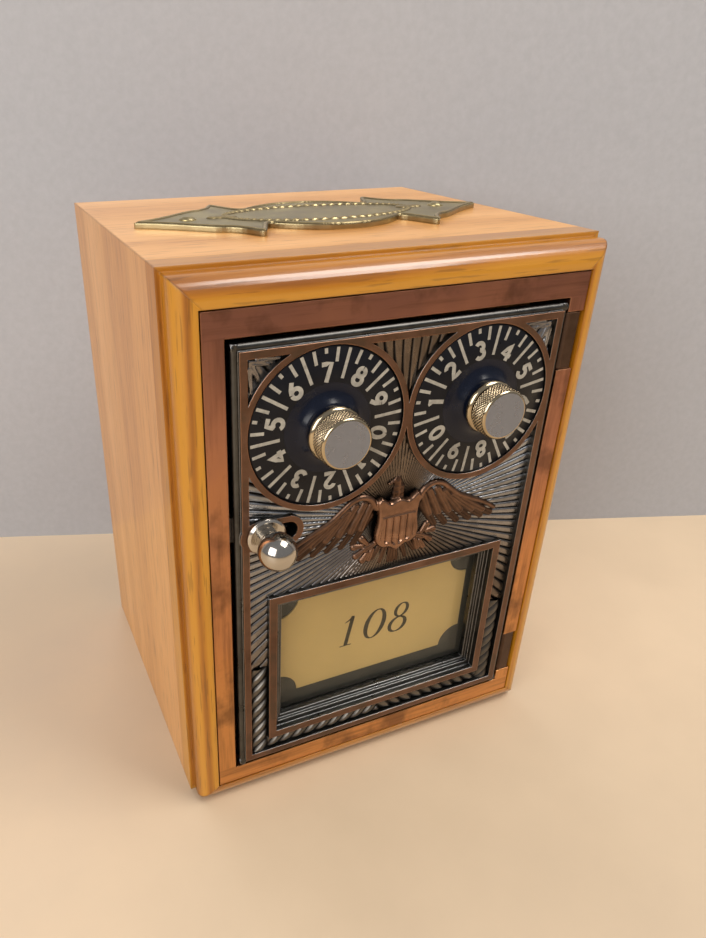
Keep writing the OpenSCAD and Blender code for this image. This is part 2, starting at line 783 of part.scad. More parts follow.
module spring_washer(side) {
    color(steel) difference() {
        rod_y(side * dial_x, dial_z, washer_y, washer_y + washer_t, spindle_r + 2.2);
        rod_y(side * dial_x, dial_z, washer_y - 1, washer_y + washer_t + 1, spindle_r + 0.02);
    }
}

module spindle_clip(side) {
    color(steel) difference() {
        rod_y(side * dial_x, dial_z, clip_y, clip_y + clip_t, spindle_r + 1.8);
        rod_y(side * dial_x, dial_z, clip_y - 1, clip_y + clip_t + 1, spindle_r + 0.02);
    }
}

// Latch: a bolt plate with a tongue and two fingers, and the ball that slides it
finger_x = [for (s = [-1, 1]) s * dial_x - wheel_r - finger_gap - finger_l];
plate_x = finger_x[0];
hub_slot = spindle_r + 1.9;
plate_end_x = dial_x + latch_throw + hub_slot + 2.5;
foot_end_x = guide_spots[1][0] + latch_throw + guide_r + 2;

module latch_bolt() {
    y1 = bolt_y + bolt_t;
    color(steel) difference() {
        union() {
            slab(bolt_y, y1) {
                panel(plate_x, plate_end_x, dial_z - 7, dial_z + 7);
                panel(plate_x, latch_x + 5.5, latch_z - arm_w / 2, dial_z);
                panel(plate_x, foot_end_x, latch_z - arm_w / 2, latch_z + arm_w / 2);
                panel(tongue_tip_x, plate_x + 1, latch_z - arm_w / 2, latch_z + arm_w / 2);
            }
            for (x = finger_x) slab(bolt_y, wheel_y + wheel_t)
                panel(x, x + finger_l, dial_z - finger_w / 2, dial_z + finger_w / 2);
            rod_y(latch_x, latch_z, ball_y + 2, bolt_y + 0.1, stem_r);
        }
        for (s = [-1, 1]) slotted(s * dial_x, dial_z, hub_slot, y1 + 0.1);
        for (g = guide_spots) slotted(g[0], g[1], guide_r + 0.15, y1 + 0.1);
    }
}

// A slot that lets the bolt slide past a fixed post of centre x and z
module slotted(x, z, r, y1) {
    for (dx = [-latch_travel, latch_throw]) rod_y(x + dx, z, bolt_y - 1, y1, r);
    slab(bolt_y - 1, y1) panel(x - latch_travel, x + latch_throw, z - r, z + r);
}

module latch_collar() {
    color(nickel) difference() {
        turned_y(latch_x, latch_z, [
            [0, latch_boss_y - 0.1], [collar_r, latch_boss_y - 0.1],
            [collar_r, latch_boss_y - 0.8], [collar_r - 0.6, latch_boss_y - collar_t], [0, latch_boss_y - collar_t]
        ]);
        rod_y(latch_x, latch_z, ball_y, latch_boss_y + 1, stem_r + 0.02);
    }
}

module latch_ball() {
    color(nickel) difference() {
        union() {
            translate([latch_x, ball_y, latch_z]) sphere(ball_r);
            rod_y(latch_x, latch_z, ball_y + 2, latch_boss_y - collar_t, 3);
        }
        rod_y(latch_x, latch_z, ball_y + 1.9, latch_boss_y, stem_r + 0.02);
    }
}

module latch_spring() {
    length = spring_stop_x - spring_x;
    turns = 5;
    color(steel) translate([spring_x, spring_y, spring_z]) rotate([0, 90, 0])
        linear_extrude(length, twist = -360 * turns, slices = turns * 6)
            translate([spring_r - 0.35, 0]) circle(0.35, $fn = 5);
}

case_side(-1);  // case_left_side
case_side(1);  // case_right_side
case_top();
case_bottom();
case_back();
oak_rail_top();
oak_rail_bottom();
oak_stile(-1);  // oak_stile_left
oak_stile(1);  // oak_stile_right
door_frame();
frame_screws();
hinge_pin(upper_barrel_z);  // hinge_pin_upper
hinge_pin(lower_barrel_z);  // hinge_pin_lower
lid_plate();
lid_plate_pins();
door_casting();
sunburst_rays();
rope_border();
winged_shield();
window_glass();
number_plate();
backing_card();
window_retainer();
retainer_screws();
lock_housing();
housing_screws();
bolt_guide_screws();
dial(-1);  // left_dial
knob(-1);  // left_knob
spindle(-1);  // left_spindle
tumbler_wheel(-1);  // left_tumbler_wheel
spring_washer(-1);  // left_spring_washer
spindle_clip(-1);  // left_spindle_clip
dial(1);  // right_dial
knob(1);  // right_knob
spindle(1);  // right_spindle
tumbler_wheel(1);  // right_tumbler_wheel
spring_washer(1);  // right_spring_washer
spindle_clip(1);  // right_spindle_clip
latch_bolt();
latch_collar();
latch_ball();
latch_spring();
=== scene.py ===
import bpy
import math
import numpy as np
from mathutils import Matrix, Vector


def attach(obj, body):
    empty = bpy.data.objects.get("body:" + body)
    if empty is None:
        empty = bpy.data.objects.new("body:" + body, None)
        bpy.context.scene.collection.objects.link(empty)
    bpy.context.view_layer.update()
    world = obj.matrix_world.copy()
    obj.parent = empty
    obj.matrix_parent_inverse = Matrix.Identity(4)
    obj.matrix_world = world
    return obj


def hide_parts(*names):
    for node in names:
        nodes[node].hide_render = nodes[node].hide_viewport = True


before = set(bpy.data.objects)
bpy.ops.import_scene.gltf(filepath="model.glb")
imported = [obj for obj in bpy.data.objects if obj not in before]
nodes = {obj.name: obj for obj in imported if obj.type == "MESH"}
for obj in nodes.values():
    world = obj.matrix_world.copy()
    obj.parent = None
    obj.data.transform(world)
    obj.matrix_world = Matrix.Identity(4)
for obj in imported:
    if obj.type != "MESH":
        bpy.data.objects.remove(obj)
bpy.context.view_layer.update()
MM = 0.001

# Front coordinates are mm across, back from the oak face and up from the metal frame's foot.
# These two take them to the frame that the whole part shares.
OAK_FACE_Y, FRAME_FOOT_Z = -51.0, 6.5

# Places and sizes on the door, in front coordinates
DIAL_X, DIAL_Z, DIAL_R = 21.5, 109.5, 20.0
FIELD_X, FIELD_BOTTOM, FIELD_TOP = 41.5, 9.8, 128.8
FIELD_Y = 0.7
WINDOW_X, WINDOW_BOTTOM, WINDOW_TOP = 36.2, 14.2, 64.2
LATCH_Z = 83.9
BURST_Z = 80.0
ROPE_TOP = 41.0
RIM_FACE_Y = -0.9
KNUCKLE_X = 45.4
KNOB_Y, KNOB_R = -10.6, 6.6


class Mat:
    """A Principled material with short calls for the nodes that the finishes share."""

    def __init__(self, name):
        self.m = bpy.data.materials.new(name)
        self.m.use_nodes = True
        self.t = self.m.node_tree
        self.b = self.t.nodes["Principled BSDF"]
        self.co = self.t.nodes.new("ShaderNodeTexCoord").outputs["Object"]

    def put(self, socket, value):
        """Links a socket, or writes a value into it."""
        if hasattr(value, "is_linked"):
            self.t.links.new(value, socket)
        elif socket.type == "RGBA" and len(value) == 3:
            socket.default_value = (*value, 1)
        else:
            socket.default_value = value

    def node(self, kind, inputs=None, **props):
        n = self.t.nodes.new(kind)
        for k, v in props.items():
            setattr(n, k, v)
        for k, v in (inputs or {}).items():
            self.put(n.inputs[k], v)
        return n

    def mapping(self, scale, loc=(0, 0, 0)):
        ins = {"Vector": self.co, "Scale": scale, "Location": loc}
        return self.node("ShaderNodeMapping", ins).outputs[0]

    def noise(self, scale, detail=4, rough=0.5, loc=(0, 0, 0), dist=0.0):
        """Noise with its grain per metre given along each axis, or as one number."""
        if not isinstance(scale, tuple):
            scale = (scale,) * 3
        ins = {"Vector": self.mapping(scale, loc), "Scale": 1.0, "Detail": detail, "Roughness": rough,
               "Distortion": dist}
        return self.node("ShaderNodeTexNoise", ins).outputs[0]

    def ramp(self, fac, stops):
        n = self.node("ShaderNodeValToRGB", {0: fac})
        e = n.color_ramp.elements
        while len(e) > 1:
            e.remove(e[-1])
        e[0].position = stops[0][0]
        e[0].color = (*stops[0][1], 1)
        for p, c in stops[1:]:
            e.new(p).color = (*c, 1)
        return n.outputs[0]

    def grey(self, fac, a, b, va=0.0, vb=1.0):
        """Maps a to b onto va to vb, and holds the ends."""
        return self.node("ShaderNodeMapRange", {0: fac, 1: a, 2: b, 3: va, 4: vb}).outputs[0]

    def mix(self, fac, a, b, mode="MIX"):
        n = self.node("ShaderNodeMix", data_type="RGBA", blend_type=mode)
        for i, v in ((0, fac), (6, a), (7, b)):
            self.put(n.inputs[i], v)
        return n.outputs[2]

    def math(self, op, a, b):
        return self.node("ShaderNodeMath", {0: a, 1: b}, operation=op).outputs[0]

    def attribute(self, name):
        return self.node("ShaderNodeAttribute", attribute_name=name).outputs["Fac"]

    def set(self, **sockets):
        for k, v in sockets.items():
            self.put(self.b.inputs[k.replace("_", " ")], v)

    def bump(self, height, strength, dist, normal=None):
        ins = {"Height": height, "Strength": strength, "Distance": dist}
        if normal is not None:
            ins["Normal"] = normal
        self.set(Normal=self.node("ShaderNodeBump", ins).outputs[0])

    def bevel(self, r):
        return self.node("ShaderNodeBevel", {"Radius": r}, samples=6).outputs[0]

    def edges(self, r):
        """White along the edges of the shape, black elsewhere."""
        flat = self.node("ShaderNodeNewGeometry").outputs["Normal"]
        dot = self.node("ShaderNodeVectorMath", {0: self.bevel(r), 1: flat}, operation="DOT_PRODUCT")
        return self.grey(self.math("SUBTRACT", 1.0, dot.outputs["Value"]), 0.02, 0.25)


# Woods
def wood(name, grain, light, mid, dark, rough, coat, seed=0.0, rings=1.0):
    """Varnished wood with its grain along x or z: broad bands, growth rings, fibres and pores."""
    m = Mat(name)
    k = {"x": (0.06, 1, 1), "z": (1, 1, 0.06)}[grain]
    off = (seed, seed * 1.7, seed * 0.6)

    def along(scale):
        return tuple(scale * v for v in k)

    broad = m.noise(along(60), 3, 0.5, off, 0.6)
    fibre = m.noise(along(420), 4, 0.6, off)
    pores = m.noise(along(1500), 2, 0.5, off)
    ring_scale = tuple(34 * v for v in (k[0] * 2.2, 1.2, k[2]))
    ins = {"Vector": m.mapping(ring_scale, off), "Scale": 1.0, "Distortion": 5.0, "Detail": 3.0,
           "Detail Scale": 0.8}
    across = {"x": "Z", "z": "X"}[grain]
    wave = m.node("ShaderNodeTexWave", ins, bands_direction=across).outputs[1]
    tone = m.math("ADD", m.math("MULTIPLY", broad, 0.5), m.math("MULTIPLY", wave, 0.28 * rings))
    tone = m.math("ADD", tone, m.math("MULTIPLY", fibre, 0.34))
    col = m.ramp(tone, [(0.28, dark), (0.5, mid), (0.75, light)])
    pore = m.grey(pores, 0.34, 0.42, 0.72, 1.0)
    shade = m.node("ShaderNodeCombineColor", {0: pore, 1: pore, 2: pore}).outputs[0]
    m.set(Base_Color=m.mix(1.0, col, shade, "MULTIPLY"), Roughness=rough, Metallic=0.0, Coat_Weight=coat,
          Coat_Roughness=0.12)
    m.bump(fibre, 0.12, 0.0002, m.bevel(0.0006))
    return m.m


BOARD = ((0.72, 0.37, 0.125), (0.62, 0.295, 0.082), (0.45, 0.185, 0.043))
OAK = ((0.54, 0.235, 0.016), (0.41, 0.148, 0.006), (0.20, 0.056, 0.002))
mat_side = wood("case_wood_side", "z", *BOARD, 0.38, 0.25, 0.3)
mat_back = wood("case_wood_back", "z", *BOARD, 0.38, 0.25, 7.7, 0.25)
mat_top = wood("case_wood_top", "x", *BOARD, 0.40, 0.25, 1.3)
mat_oak_v = wood("oak_upright", "z", *OAK, 0.36, 0.25, 2.1, 1.5)
mat_oak_h = wood("oak_level", "x", *OAK, 0.3, 0.7, 3.4, 1.5)


# Metals
def metal(name, col, rough, var=0.15, scale=300, bump=0.0, edge=None, edge_amt=1.0, metallic=1.0,
          bev=0.0003, spots=None):
    """Metal with a mottled tone. edge is the colour of its rubbed edges, spots a colour, scale and amount."""
    m = Mat(name)
    fine = m.noise(scale, 4, 0.6)
    broad = m.noise(45, 3, 0.5)
    v = m.math("ADD", m.math("MULTIPLY", fine, 0.5), m.math("MULTIPLY", broad, 0.5))
    lo = tuple(c * (1 - var) for c in col)
    hi = tuple(min(1, c * (1 + var)) for c in col)
    c = m.ramp(v, [(0.35, lo), (0.65, hi)])
    if spots:
        c = m.mix(m.grey(m.noise(spots[1], 3, 0.5), 0.5, 0.62, 0, spots[2]), c, spots[0])
    if edge:
        c = m.mix(m.math("MULTIPLY", m.edges(0.0005), edge_amt), c, edge)
    m.set(Base_Color=c, Roughness=m.grey(fine, 0.3, 0.7, rough * 0.8, rough * 1.25), Metallic=metallic)
    if bump:
        m.bump(fine, bump, 0.0001, m.bevel(bev))
    else:
        m.set(Normal=m.bevel(bev))
    return m.m


def graded_copper(name):
    """Antique copper plate: red-brown over the top bar, warm orange copper lower down, wiped in streaks."""
    m = Mat(name)
    height = m.node("ShaderNodeSeparateXYZ", {0: m.co}).outputs[2]
    fine = m.noise(260, 5, 0.6)
    broad = m.noise((38, 38, 22), 3, 0.5)
    grade = m.grey(height, 0.02, 0.145)
    grade = m.math("ADD", grade, m.math("MULTIPLY", m.math("SUBTRACT", broad, 0.5), 0.7))
    c = m.ramp(grade, [(0.0, (0.68, 0.325, 0.115)), (0.35, (0.64, 0.29, 0.11)), (0.7, (0.46, 0.21, 0.125)),
                       (1.0, (0.27, 0.125, 0.09))])
    # Streaks run up the side bars and along the top and bottom ones
    above_foot = m.grey(height, 0.0122, 0.0124)
    above_head = m.grey(height, 0.1396, 0.1398)
    side_bar = m.math("MULTIPLY", above_foot, m.math("SUBTRACT", 1.0, above_head))
    up = m.math("MULTIPLY", m.noise((700, 700, 40), 3, 0.6), side_bar)
    level = m.math("MULTIPLY", m.noise((40, 700, 700), 3, 0.6), m.math("SUBTRACT", 1.0, side_bar))
    streaks = m.math("ADD", up, level)
    c = m.mix(m.grey(streaks, 0.45, 0.75, 0, 0.5), c, (0.10, 0.045, 0.03))
    smudge = m.noise((75, 75, 60), 4, 0.6, (3, 1, 2))
    c = m.mix(m.grey(smudge, 0.52, 0.66, 0, 0.55), c, (0.07, 0.035, 0.026))
    c = m.mix(m.math("MULTIPLY", m.edges(0.0006), 0.55), c, (0.62, 0.30, 0.14))
    m.set(Base_Color=c, Roughness=m.grey(fine, 0.3, 0.7, 0.30, 0.46), Metallic=1.0)
    m.bump(streaks, 0.05, 0.0001, m.bevel(0.0004))
    return m.m


def relief_metal(name, low, high, lo, hi, r0, r1, noise_amt=0.4, warm=None):
    """Metal that is dark in its grooves and rubbed bright where the relief stands out."""
    m = Mat(name)
    fine = m.noise(330, 4, 0.6)
    broad = m.noise(60, 3, 0.5)
    f = m.grey(m.attribute("relief"), lo, hi)
    f = m.math("MULTIPLY", f, m.grey(fine, 0.25, 0.6, 1 - noise_amt, 1.0))
    f = m.math("MULTIPLY", f, m.grey(broad, 0.3, 0.6, 0.6, 1.0))
    # Painted reflection: where warm is given, the tone attribute moves the bright colour from warm brown to
    # silvery
    if warm:
        high = m.mix(m.attribute("tone"), warm, high)
    m.set(Base_Color=m.mix(f, low, high), Roughness=m.grey(f, 0, 1, r0, r1), Metallic=1.0)
    m.bump(fine, 0.08, 0.0001)
    return m.m


mat_frame = graded_copper("antique_copper")
mat_knuckle = metal("brown_knuckle", (0.10, 0.062, 0.043), 0.4, 0.3, 260, 0.05, (0.34, 0.19, 0.11), 0.6,
                    bev=0.0004)
mat_rim = metal("rubbed_copper", (0.16, 0.092, 0.063), 0.36, 0.3, 240, 0.05, (0.52, 0.26, 0.14), 0.75,
                bev=0.0004, spots=((0.10, 0.075, 0.055), 130, 0.6))
mat_bronze = metal("dark_bronze", (0.085, 0.083, 0.078), 0.32, 0.35, 260, 0.08, (0.42, 0.42, 0.42), 0.7,
                   bev=0.0004)
mat_steel = metal("plain_steel", (0.50, 0.50, 0.51), 0.35, 0.1, 300, 0.03)
mat_nickel = metal("polished_nickel", (0.50, 0.41, 0.27), 0.13, 0.08, 90)
mat_ball = metal("polished_ball", (0.52, 0.48, 0.42), 0.13, 0.06, 90)
# Painted reflection: the knob faces' blue tint stands for a reflected blue, not the nickel's own colour
mat_knob_face = metal("nickel_painted_blue_reflection", (0.27, 0.30, 0.375), 0.30, 0.06, 400, 0.02)
mat_brass = metal("wheel_brass", (0.66, 0.47, 0.18), 0.25, 0.1, 200, 0.02)
mat_plate = metal("antique_brass", (0.40, 0.34, 0.19), 0.34, 0.25, 120, 0.03, (0.80, 0.66, 0.34),
                  bev=0.0007, spots=((0.26, 0.2, 0.11), 90, 0.5))
mat_number = metal("satin_brass", (0.84, 0.585, 0.25), 0.5, 0.06, 60, 0.02, metallic=0.25, bev=0.0001)
# The rays' bright colour runs between this silvery one and warm brown by a painted reflection
mat_rays = relief_metal("sunburst_metal", (0.012, 0.011, 0.011), (0.46, 0.475, 0.50), 0.22, 0.5, 0.4, 0.24,
                        0.3, (0.185, 0.135, 0.095))
mat_rope = relief_metal("rope_metal", (0.03, 0.027, 0.024), (0.18, 0.165, 0.145), 0.5, 1.3, 0.4, 0.3)
mat_shield = relief_metal("eagle_copper", (0.022, 0.015, 0.012), (0.34, 0.19, 0.12), 0.5, 1.5, 0.4, 0.26)
mat_border = relief_metal("border_brass", (0.13, 0.10, 0.055), (0.62, 0.50, 0.26), 0.02, 0.42, 0.42, 0.24,
                          0.35)


# Glass, card, lacquer and ink
def glass():
    """Thin clear glass that mirrors more where it is seen at a slant, from either side."""
    m = bpy.data.materials.new("clear_glass")
    m.use_nodes = True
    t = m.node_tree
    t.nodes.clear()
    out = t.nodes.new("ShaderNodeOutputMaterial")
    clear = t.nodes.new("ShaderNodeBsdfTransparent")
    clear.inputs[0].default_value = (0.90, 0.91, 0.88, 1)
    mirror = t.nodes.new("ShaderNodeBsdfGlossy")
    mirror.inputs["Roughness"].default_value = 0.04
    slant = t.nodes.new("ShaderNodeLayerWeight")
    power = t.nodes.new("ShaderNodeMath")
    power.operation = "POWER"
    power.inputs[1].default_value = 4.0
    share = t.nodes.new("ShaderNodeMath")
    share.operation = "MULTIPLY_ADD"
    share.inputs[1].default_value = 0.6
    share.inputs[2].default_value = 0.03
    both = t.nodes.new("ShaderNodeMixShader")
    t.links.new(slant.outputs["Facing"], power.inputs[0])
    t.links.new(power.outputs[0], share.inputs[0])
    t.links.new(share.outputs[0], both.inputs[0])
    t.links.new(clear.outputs[0], both.inputs[1])
    t.links.new(mirror.outputs[0], both.inputs[2])
    t.links.new(both.outputs[0], out.inputs[0])
    return m


def plain(name, col, rough, scale=400, amt=0.15, spec=0.5):
    """A plain surface with a faint mottle."""
    m = Mat(name)
    n = m.noise(scale, 4, 0.6)
    dark, light = (tuple(c * k for c in col) for k in (1 - amt, 1 + amt))
    m.set(Base_Color=m.ramp(n, [(0.3, dark), (0.7, light)]),
          Roughness=m.grey(n, 0.3, 0.7, rough * 0.85, rough * 1.15), Specular_IOR_Level=spec)
    m.bump(n, 0.05, 0.0001, m.bevel(0.0002))
    return m.m


mat_glass = glass()
mat_card = plain("dark_card", (0.075, 0.066, 0.055), 0.7)
mat_dial = plain("dial_lacquer", (0.007, 0.007, 0.009), 0.32, spec=0.22)
mat_hub = plain("hub_lacquer", (0.004, 0.006, 0.014), 0.2, spec=0.3)
mat_mark = plain("dial_white", (0.36, 0.335, 0.28), 0.5, 700, 0.25)
mat_ink = plain("engraved_ink", (0.04, 0.028, 0.014), 0.5)


# Finishes of the CAD pieces
def paint(node, *mats):
    me = nodes[node].data
    me.materials.clear()
    for x in mats:
        me.materials.append(x)
    return me


FINISHES = {
    "case_left_side": mat_side, "case_right_side": mat_side, "case_back": mat_back,
    "case_top": mat_top, "case_bottom": mat_top,
    "oak_stile_left": mat_oak_v, "oak_stile_right": mat_oak_v,
    "oak_rail_top": mat_oak_h, "oak_rail_bottom": mat_oak_h,
    "door_frame": mat_frame, "lid_plate": mat_plate, "lid_plate_pins": mat_plate,
    "window_glass": mat_glass, "number_plate": mat_number, "backing_card": mat_card,
    "latch_ball": mat_ball, "latch_collar": mat_ball,
}
STEEL_WORDS = ("screws", "hinge_pin_", "retainer", "housing", "spindle", "washer", "latch_bolt",
               "latch_spring")
for n in nodes:
    if "tumbler_wheel" in n:
        paint(n, mat_brass)
    elif n in FINISHES:
        paint(n, FINISHES[n])
    elif any(w in n for w in STEEL_WORDS):
        paint(n, mat_steel)

# Door casting: copper on the raised faces, brown on the hinge knuckles, dark bronze elsewhere
for p in paint("door_casting", mat_bronze, mat_rim, mat_knuckle).polygons:
    if p.center[0] / MM > KNUCKLE_X:
        p.material_index = 2
    elif p.normal[1] < -0.7 and p.center[1] / MM - OAK_FACE_Y < RIM_FACE_Y:
        p.material_index = 1


# Meshes
def mesh(name, verts, faces, mat, body, replaces=(), smooth=True):
    """Makes a piece from vertices in front coordinates."""
    me = bpy.data.meshes.new(name)
    v = (np.asarray(verts, float) + (0, OAK_FACE_Y, FRAME_FOOT_Z)) * MM
    me.from_pydata(v.tolist(), [], [list(f) for f in faces])
    me.update()
    ob = bpy.data.objects.new(name, me)
    bpy.context.scene.collection.objects.link(ob)
    me.materials.append(mat)
    if smooth:
        me.polygons.foreach_set("use_smooth", [True] * len(me.polygons))
    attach(ob, body)
    if replaces:
        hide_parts(*replaces)
    return ob


def grid_mesh(name, points, height, cell, mat, body, replaces, tone=None):
    """The kept cells of a grid. Its height and tone go to the material as attributes; the tone is a painted
    reflection.
    """
    idx = np.arange(height.size).reshape(height.shape)
    r, c = np.nonzero(cell)
    faces = np.stack([idx[r, c], idx[r, c + 1], idx[r + 1, c + 1], idx[r + 1, c]], 1)
    used = np.unique(faces)
    remap = np.zeros(height.size, int)
    remap[used] = np.arange(len(used))
    ob = mesh(name, np.stack([p.ravel() for p in points], 1)[used], remap[faces], mat, body, replaces)
    values = {"relief": height} if tone is None else {"relief": height, "tone": tone}
    for key, value in values.items():
        a = ob.data.attributes.new(key, "FLOAT", "POINT")
        a.data.foreach_set("value", value.ravel()[used].astype(float))


def relief(name, box, step, fn, keep, mat, replaces, tone=None):
    """A relief on the door's field. fn gives its height in mm, and keep says which points stay."""
    x0, x1, z0, z1 = box
    nx, nz = int(round((x1 - x0) / step)) + 1, int(round((z1 - z0) / step)) + 1
    X, Z = np.meshgrid(np.linspace(x0, x1, nx), np.linspace(z0, z1, nz))
    H = fn(X, Z)
    K = keep(X, Z, H)
    cell = K[:-1, :-1] & K[1:, :-1] & K[:-1, 1:] & K[1:, 1:]
    # tone, where given, is a painted reflection, which goes to the material as the tone attribute
    shade = tone(X, Z) if tone else None
    grid_mesh(name, (X, FIELD_Y - H, Z), H, cell, mat, "door", [replaces], shade)


def round_profile(u):
    """1 on the centre line of a half round, 0 at its sides."""
    return np.clip(1 - u ** 2, 0, 1) ** 0.5


def swell(x, middle, width):
    return np.exp(-((x - middle) / width) ** 2)


def nearest(X, Z, a, b):
    """How far along a to b the nearest point lies, and how far off it is."""
    (ax, az), (bx, bz) = a, b
    dx, dz = bx - ax, bz - az
    t = np.clip(((X - ax) * dx + (Z - az) * dz) / (dx * dx + dz * dz + 1e-9), 0, 1)
    return t, np.hypot(X - ax - t * dx, Z - az - t * dz)


def cap(X, Z, a, b, ra, rb, h, groove=0.0):
    """A tapered rounded ridge from a to b, with a groove along it if asked."""
    t, d = nearest(X, Z, a, b)
    r = ra + (rb - ra) * t
    out = h * round_profile(d / r)
    if groove:
        out = out - groove * h * swell(d / r, 0, 0.22) * (d < r)
    return out


def poly_sd(X, Z, pts):
    """Distance inside a closed outline, positive within."""
    d = np.full(X.shape, 1e9)
    inside = np.zeros(X.shape, bool)
    for a, b in zip(pts, list(pts[1:]) + [pts[0]]):
        (ax, az), (bx, bz) = a, b
        d = np.minimum(d, nearest(X, Z, a, b)[1])
        inside ^= ((az > Z) != (bz > Z)) & (X < (bx - ax) * (Z - az) / (bz - az + 1e-12) + ax)
    return np.where(inside, d, -d)


def smooth_path(pts, n):
    """A smooth curve through points, with n steps between each two."""
    P = np.array(pts, float)
    Q = np.vstack([2 * P[0] - P[1], P, 2 * P[-1] - P[-2]])
    out = []
    for a, b, c, d in zip(Q, Q[1:], Q[2:], Q[3:]):
        for t in np.linspace(0, 1, n, endpoint=False):
            square = (2 * a - 5 * b + 4 * c - d) * t * t
            cube = (3 * b - a - 3 * c + d) * t ** 3
            out.append(0.5 * (2 * b + (c - a) * t + square + cube))
    out.append(P[-1])
    return np.array(out)


# Sunburst: rays behind the shield, with small leaves in the two upper corners
CORNER_LEAVES = [((40.3, 127.6), (36.2, 126.8)), ((40.3, 127.2), (38.3, 123.4)),
                 ((40.7, 126.0), (40.2, 120.6)), ((38.5, 128.2), (33.6, 127.9))]
RAY_COUNT, RAY_H = 120, 0.62


def in_rope(X, Z, top):
    return ((np.abs(X) > WINDOW_X) & (Z < top)) | (Z < WINDOW_BOTTOM)


def sunburst(X, Z):
    turn = np.arctan2(Z - BURST_Z, X - 0.3) / (2 * np.pi) * RAY_COUNT % 1
    h = RAY_H * (1 - np.abs(2 * turn - 1) ** 4)
    h = h * np.clip((np.hypot(X, Z - BURST_Z) - 4) / 8, 0, 1)
    for s in (-1, 1):
        for a, b in CORNER_LEAVES:
            h = np.maximum(h, cap(X, Z, (s * a[0], a[1]), (s * b[0], b[1]), 1.0, 0.5, 1.1, 0.3))
    return np.where(in_rope(X, Z, ROPE_TOP), 0.0, h)


def sun_tone(X, Z):
    """Painted reflection: silvery rays towards the hinge and the latch, brown ones above and below."""
    a = np.degrees(np.arctan2(Z - BURST_Z, X))
    off = np.abs(a)
    t = swell(a, 24, 22) + swell(off, 165, 20) * (a > 0) + 0.55 * swell(off, 178, 22) * (a < 0)
    t = t + 0.5 * swell(a, -10, 25) + 0.35 * swell(a, -150, 25)
    t = t + 0.35 * ((Z > 116) & (np.abs(X) > 30))
    return np.clip(t, 0.08, 1)


def sun_keep(X, Z, H):
    k = (np.abs(X) < FIELD_X + 0.05) & (Z > FIELD_BOTTOM) & (Z < FIELD_TOP)
    for s in (-1, 1):
        k &= np.hypot(X - s * DIAL_X, Z - DIAL_Z) > DIAL_R + 1.4
    k &= ~((np.abs(X) < WINDOW_X) & (Z > WINDOW_BOTTOM) & (Z < WINDOW_TOP))
    k &= np.hypot(X - np.clip(X, -39.7, -31.3), Z - LATCH_Z) > 3.9
    return k & ~in_rope(X, Z, ROPE_TOP)


# Rope border beside the window and below it
ROPE_SIDE_X, ROPE_SIDE_W = 38.85, 2.75
ROPE_FOOT_Z, ROPE_FOOT_W = 12.0, 2.3
ROPE_PITCH, ROPE_H = 3.9, 1.45


def rope_height(X, Z):
    side = np.abs(X) > WINDOW_X
    across = np.where(side, np.abs(X) - ROPE_SIDE_X, Z - ROPE_FOOT_Z)
    along = np.where(side, Z, -X) * np.where(X < 0, 1, -1)
    body = round_profile(across / np.where(side, ROPE_SIDE_W, ROPE_FOOT_W))
    saw = (along + across * 0.8) / ROPE_PITCH % 1
    rise, fall = np.sin(np.pi * saw / 1.44), np.cos(np.pi * (saw - 0.72) / 0.56)
    strand = np.clip(np.where(saw < 0.72, rise, fall), 0, 1) ** 0.8
    return ROPE_H * body * (0.25 + 0.75 * strand)


def rope_keep(X, Z, H):
    return in_rope(X, Z, ROPE_TOP + 0.2) & (np.abs(X) < FIELD_X + 0.05) & (Z > FIELD_BOTTOM - 0.05)


# Winged shield. Points are in front coordinates, for the right half of each mirrored pair.
SHIELD_X = 0.3
SHIELD_W, SHIELD_LEN, SHIELD_Z = 6.8, 16.2, 78.6
SHIELD_H, SHIELD_ROUND = 2.25, 0.9
FLUTE_PITCH, FLUTE_H = 2.1, 0.6
CHIEF_Z, CHIEF_H = 81.4, 0.28
LONG_FEATHERS = [((8, 82), (12.5, 74.6)), ((9.5, 82.5), (16, 74.3)), ((11.5, 83), (20, 74.2)),
                 ((13.5, 83.2), (24, 74.0)), ((15.5, 83), (28, 73.9)), ((18, 82), (31.2, 74.0))]
SHORT_FEATHERS = [((7.8, 84.8), (10.4, 78.6)), ((9.8, 85.6), (13.4, 78.4)), ((12.3, 85.7), (16.8, 78.2)),
                  ((14.6, 84.4), (20.5, 77.4)), ((17.2, 82.7), (24.5, 76.8)), ((20.4, 81.0), (28.2, 75.8))]
WING_EDGE = [(6.3, 84.0), (8.2, 86.8), (10.8, 87.9), (13.4, 87.3), (15.9, 85.4), (19.4, 82.6),
             (24.4, 80.1), (28.7, 77.9), (32.2, 75.6)]
TAIL = [((0.4, 72.5), (1.2, 66.2)), ((2.0, 72.5), (4.0, 66.6)), ((3.4, 73), (6.6, 68.0)),
        ((0, 72.5), (0, 66.0))]
CLAWS = [((6.6, 71.4), (7.6, 68.6)), ((8.2, 70.6), (9.4, 68.4)), ((9.6, 71.6), (11.4, 70.2)),
         ((10.0, 73.2), (12.2, 73.2)), ((8.4, 73.4), (10.0, 75.2)), ((5.8, 73.2), (8.8, 71.8))]
# Each set with its radius at both ends, its height and the share of it that is grooved
RIDGES = [(LONG_FEATHERS, 1.6, 1.35, 0.85, 0.22), (SHORT_FEATHERS, 1.25, 1.3, 1.2, 0.22),
          (TAIL, 1.25, 0.8, 1.0, 0.3), (CLAWS, 0.85, 1.25, 1.4, 0.2)]
# Neck, head and beak, with a radius each
HEAD = [((0, 84), (0.1, 88.6), 2.4), ((0.1, 88.8), (-0.4, 91.0), 1.7), ((-1.2, 91.3), (-3.0, 90.4), 0.75)]
# Outline of the shield from its top to its point, as shares of its half width and length
SHIELD_HALF = [(0, .47), (.18, .45), (.40, .42), (.62, .49), (.80, .53), (1.0, .44), (.93, .28),
               (.90, .08), (.99, -.16), (.92, -.33), (.66, -.43), (.34, -.45), (0, -.54)]


